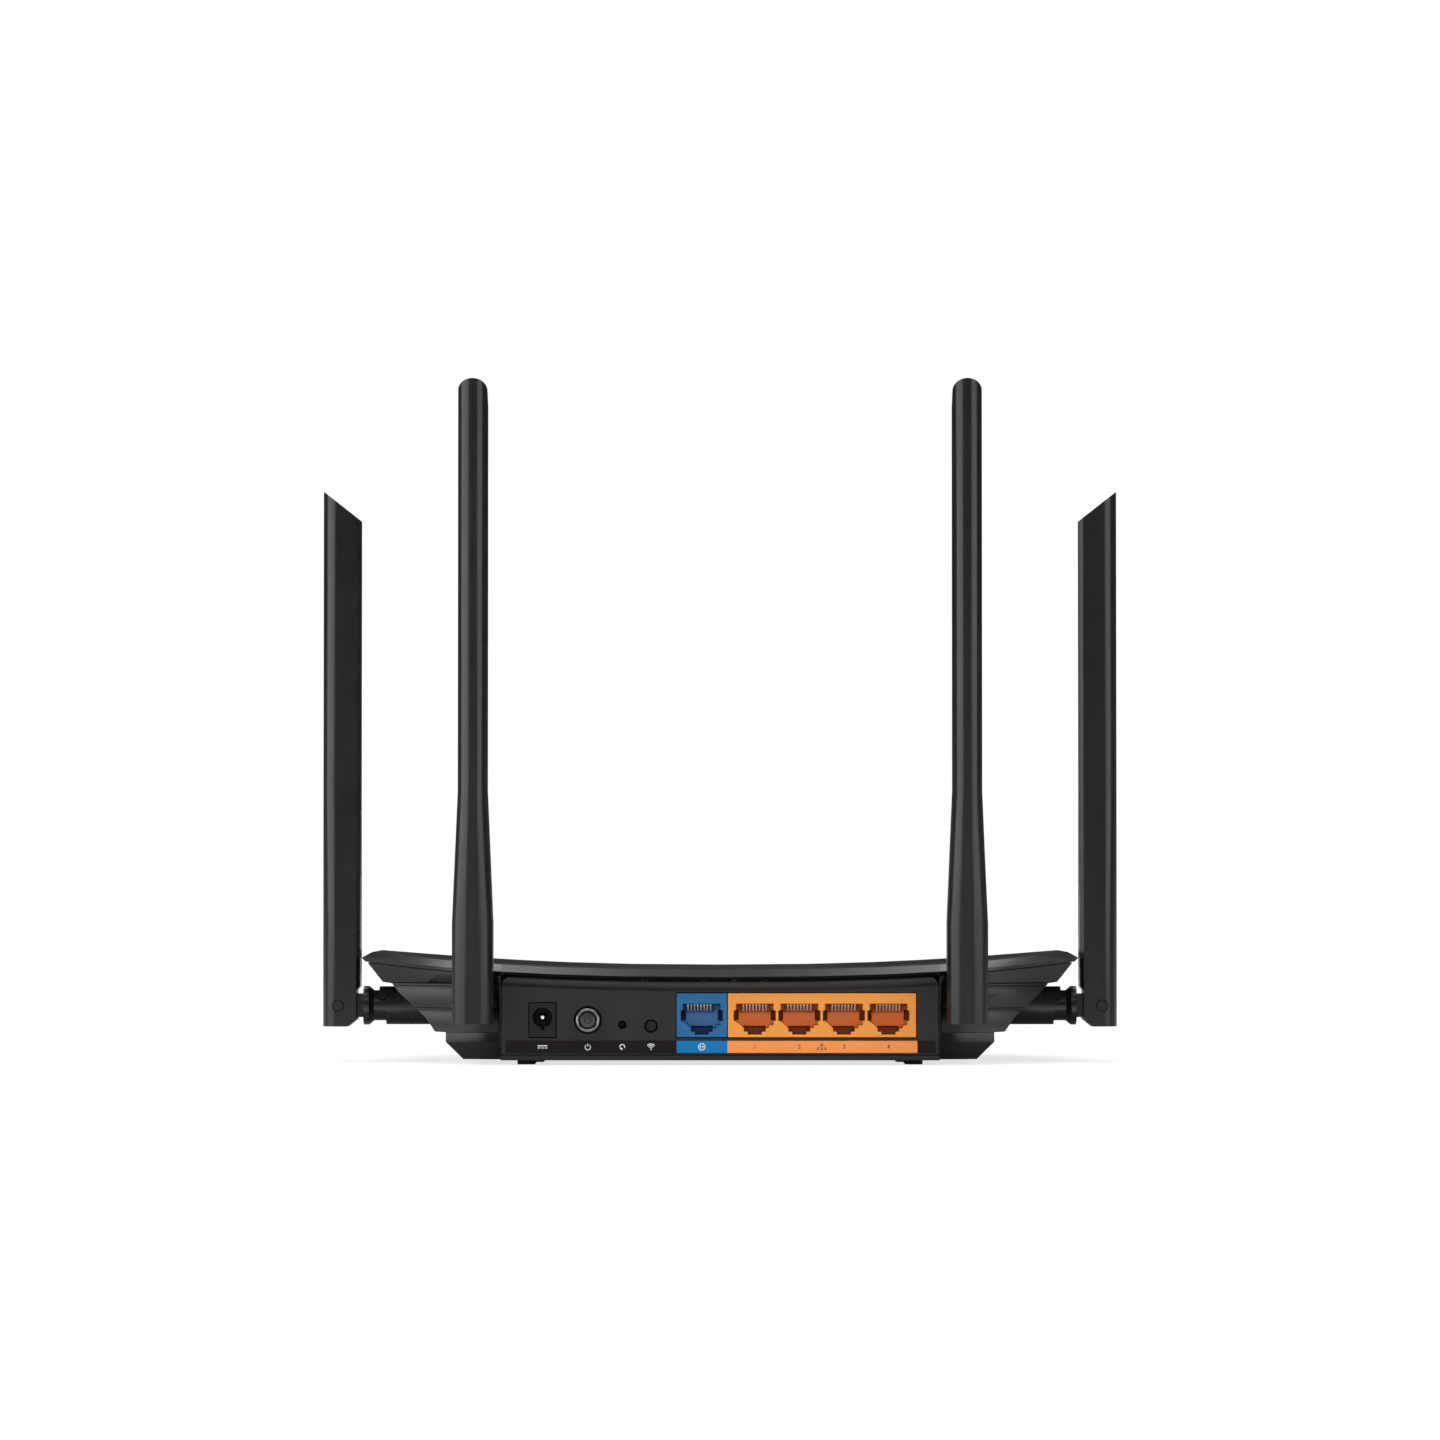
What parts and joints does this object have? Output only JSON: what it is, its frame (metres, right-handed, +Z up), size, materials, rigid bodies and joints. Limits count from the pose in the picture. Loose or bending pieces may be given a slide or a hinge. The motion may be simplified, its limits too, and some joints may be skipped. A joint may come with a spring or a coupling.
{
  "type": "wireless router",
  "caption": "Desktop wireless router with a dished wing-shaped cover, a recessed rear port panel with buttons and network sockets, and hinged, swivelling blade antennas.",
  "frame": {"origin": "centre of the bounding box in X and Y, on the table under the feet", "axes": "+Z up, -Y towards the port side with its power inlet and network sockets, +X to the right when looking at the ports"},
  "size_m": [0.2542, 0.1572, 0.2145],
  "materials": {
    "cover_plastic": "fine satin black, slightly glossy",
    "smoked_window": "polished smoked black",
    "clear_plastic": "clear moulded",
    "case_plastic": "fine-textured black",
    "rubber": "matt black",
    "steel": "plated",
    "label": "printed film, black with a blue and an orange part",
    "blue_plastic": "moulded blue",
    "orange_plastic": "moulded orange",
    "contact_gold": "gold plated",
    "black_plastic": "moulded black",
    "button_metal": "metallised plastic",
    "circuit_board": "green solder mask",
    "aluminium": "satin",
    "antenna_plastic": "fine-textured black",
    "cable": "grey jacket"
  },
  "bodies": {
    "case": {"top_cover": "cover_plastic", "indicator_window": "smoked_window", "light_guide": "clear_plastic", "bottom_case": "case_plastic", "rear_panel": "case_plastic", "foot_rear_left": "rubber", "foot_rear_right": "rubber", "foot_front_left": "rubber", "foot_front_right": "rubber", "case_screw_rear_left": "steel", "case_screw_rear_right": "steel", "case_screw_front_left": "steel", "case_screw_front_right": "steel", "board_screw_left": "steel", "board_screw_right": "steel", "power_inlet_pin": "steel", "reset_switch": "steel", "pairing_switch": "steel", "port_label": "label", "internet_jack": "blue_plastic", "ethernet_jack": "orange_plastic", "internet_contacts": "contact_gold", "ethernet_contacts_1": "contact_gold", "ethernet_contacts_2": "contact_gold", "ethernet_contacts_3": "contact_gold", "ethernet_contacts_4": "contact_gold", "power_inlet": "black_plastic", "power_switch": "black_plastic", "processor": "black_plastic", "memory_chip": "black_plastic", "internet_transformer": "black_plastic", "ethernet_transformer": "black_plastic", "capacitor_1": "black_plastic", "capacitor_2": "black_plastic", "main_board": "circuit_board", "heatsink": "aluminium", "radio_shield": "aluminium", "antenna_lead_rear_left": "cable", "antenna_lead_rear_right": "cable", "antenna_lead_side_left": "cable", "antenna_lead_side_right": "cable"},
    "power_button_body": {"power_button": "button_metal"},
    "reset_button_body": {"reset_button": "black_plastic"},
    "pairing_button_body": {"pairing_button": "black_plastic"},
    "swivel_rear_left": {"knuckle_rear_left": "antenna_plastic"},
    "blade_rear_left": {"antenna_rear_left": "antenna_plastic", "hinge_pin_rear_left": "antenna_plastic", "aerial_rear_left": "contact_gold"},
    "swivel_rear_right": {"knuckle_rear_right": "antenna_plastic"},
    "blade_rear_right": {"antenna_rear_right": "antenna_plastic", "hinge_pin_rear_right": "antenna_plastic", "aerial_rear_right": "contact_gold"},
    "swivel_side_left": {"knuckle_side_left": "antenna_plastic"},
    "blade_side_left": {"antenna_side_left": "antenna_plastic", "hinge_pin_side_left": "antenna_plastic", "aerial_side_left": "contact_gold"},
    "swivel_side_right": {"knuckle_side_right": "antenna_plastic"},
    "blade_side_right": {"antenna_side_right": "antenna_plastic", "hinge_pin_side_right": "antenna_plastic", "aerial_side_right": "contact_gold"}
  },
  "joints": [
    {"name": "swivel_rear_left", "type": "hinge", "parent": "case", "child": "swivel_rear_left", "pos_m": [-0.0772, -0.07345, 0.0199], "axis": [0, 1, 0], "range_deg": [-90, 40]},
    {"name": "fold_rear_left", "type": "hinge", "parent": "swivel_rear_left", "child": "blade_rear_left", "pos_m": [-0.0772, -0.07345, 0.0199], "axis": [1, 0, 0], "range_deg": [0, 90]},
    {"name": "swivel_rear_right", "type": "hinge", "parent": "case", "child": "swivel_rear_right", "pos_m": [0.0772, -0.07345, 0.0199], "axis": [0, -1, 0], "range_deg": [-90, 40]},
    {"name": "fold_rear_right", "type": "hinge", "parent": "swivel_rear_right", "child": "blade_rear_right", "pos_m": [0.0772, -0.07345, 0.0199], "axis": [1, 0, 0], "range_deg": [0, 90]},
    {"name": "swivel_side_left", "type": "hinge", "parent": "case", "child": "swivel_side_left", "pos_m": [-0.122, -0.019, 0.018], "axis": [1, 0, 0], "range_deg": [-90, 90]},
    {"name": "fold_side_left", "type": "hinge", "parent": "swivel_side_left", "child": "blade_side_left", "pos_m": [-0.122, -0.019, 0.018], "axis": [0, -1, 0], "range_deg": [0, 90]},
    {"name": "swivel_side_right", "type": "hinge", "parent": "case", "child": "swivel_side_right", "pos_m": [0.122, -0.019, 0.018], "axis": [1, 0, 0], "range_deg": [-90, 90]},
    {"name": "fold_side_right", "type": "hinge", "parent": "swivel_side_right", "child": "blade_side_right", "pos_m": [0.122, -0.019, 0.018], "axis": [0, 1, 0], "range_deg": [0, 90]},
    {"name": "power_button_press", "type": "slide", "parent": "case", "child": "power_button_body", "axis": [0, 1, 0], "range_m": [0, 0.0018], "stiffness_N_per_m": 400, "springref_m": -0.001},
    {"name": "reset_button_press", "type": "slide", "parent": "case", "child": "reset_button_body", "axis": [0, 1, 0], "range_m": [0, 0.0005], "stiffness_N_per_m": 800, "springref_m": -0.0008},
    {"name": "pairing_button_press", "type": "slide", "parent": "case", "child": "pairing_button_body", "axis": [0, 1, 0], "range_m": [0, 0.0006], "stiffness_N_per_m": 800, "springref_m": -0.0008}
  ]
}
